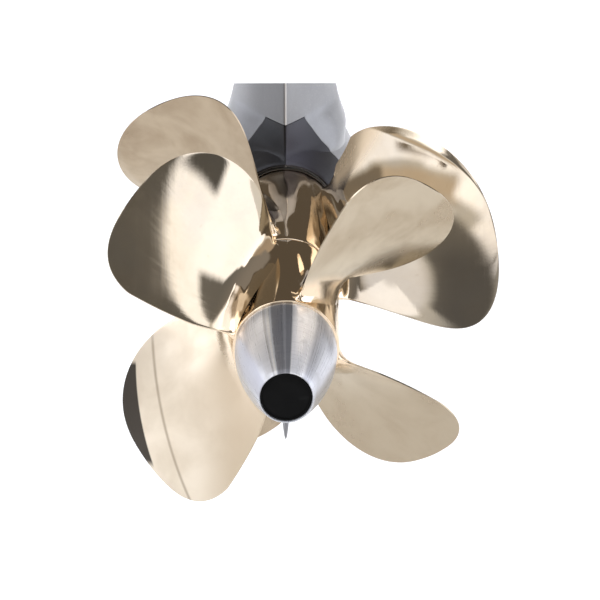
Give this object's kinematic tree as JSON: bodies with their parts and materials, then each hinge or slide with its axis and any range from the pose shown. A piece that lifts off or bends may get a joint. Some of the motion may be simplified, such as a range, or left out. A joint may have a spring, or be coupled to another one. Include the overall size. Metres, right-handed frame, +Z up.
{
  "type": "boat propeller",
  "caption": "Contra-rotating bronze boat propeller pair on concentric shafts, with tail cone, trim collar, gear housing, skeg and bevel gear drive.",
  "frame": {"origin": "a point on the inclined joint face at the top of the leg stub, on the centre plane between the rear ridge and the drive shaft's bore", "axes": "+Y forward along the shaft line, +Z up the leg, +X to starboard (right, seen from behind); the shaft line is parallel to Y, 137.8 mm below the origin"},
  "size_m": [0.4047, 0.83, 0.5375],
  "materials": {
    "propeller_bronze": "polished nickel-aluminium bronze with satin patches",
    "bronze_fittings": "machined",
    "tail_cone_metal": "brushed along its length",
    "end_cap_plastic": "matte",
    "housing_paint": "semi-gloss silver grey",
    "collar_plastic": "satin charcoal",
    "carrier_alloy": "machined",
    "steel": "ground",
    "rubber": "matte"
  },
  "bodies": {
    "housing": {"gear_housing": "housing_paint", "collar_left": "collar_plastic", "collar_right": "collar_plastic", "bearing_carrier": "carrier_alloy", "carrier_bolt_1": "steel", "carrier_bolt_2": "steel", "carrier_bolt_3": "steel", "carrier_bolt_4": "steel", "carrier_o_ring": "rubber", "outer_shaft_seal": "rubber", "aft_bearing_outer_ring": "steel", "forward_bearing_outer_ring": "steel", "pinion_bearing_outer_ring": "steel", "pinion_bearing_retainer": "steel", "dowel_left": "steel", "dowel_right": "steel"},
    "drive_shaft_set": {"drive_shaft": "steel", "pinion_gear": "steel", "pinion_nut": "steel", "pinion_bearing_rollers": "steel"},
    "front_propeller_set": {"outer_shaft": "steel", "aft_crown_gear": "steel", "aft_bearing_rollers": "steel", "front_thrust_ring": "bronze_fittings", "front_propeller": "propeller_bronze", "front_rubber_bush": "rubber", "front_spline_sleeve": "bronze_fittings", "front_propeller_nut": "bronze_fittings", "front_tab_washer": "steel", "inner_shaft_seal": "rubber", "aft_needle_bearing": "steel"},
    "aft_propeller_set": {"inner_shaft": "steel", "forward_crown_gear": "steel", "forward_bearing_rollers": "steel", "forward_lock_nut": "steel", "aft_thrust_washer": "bronze_fittings", "aft_propeller": "propeller_bronze", "aft_rubber_bush": "rubber", "aft_spline_sleeve": "bronze_fittings", "aft_tab_washer": "steel", "aft_propeller_nut": "steel", "tail_cone": "tail_cone_metal", "cone_bolt": "steel", "end_cap": "end_cap_plastic", "forward_needle_bearing": "steel"}
  },
  "joints": [
    {"name": "front_propeller_spin", "type": "hinge", "parent": "housing", "child": "front_propeller_set", "pos_m": [0, 0, -0.13779], "axis": [0, 1, 0], "continuous": true},
    {"name": "aft_propeller_spin", "type": "hinge", "parent": "housing", "child": "aft_propeller_set", "pos_m": [0, 0, -0.13779], "axis": [0, 1, 0], "continuous": true},
    {"name": "drive_shaft_spin", "type": "hinge", "parent": "housing", "child": "drive_shaft_set", "pos_m": [0, 0.06, 0], "axis": [0, 0, 1], "continuous": true}
  ],
  "couplings": [
    {"joint": "aft_propeller_spin", "follows": "front_propeller_spin", "ratio": -1},
    {"joint": "drive_shaft_spin", "follows": "front_propeller_spin", "ratio": 1.7273}
  ]
}
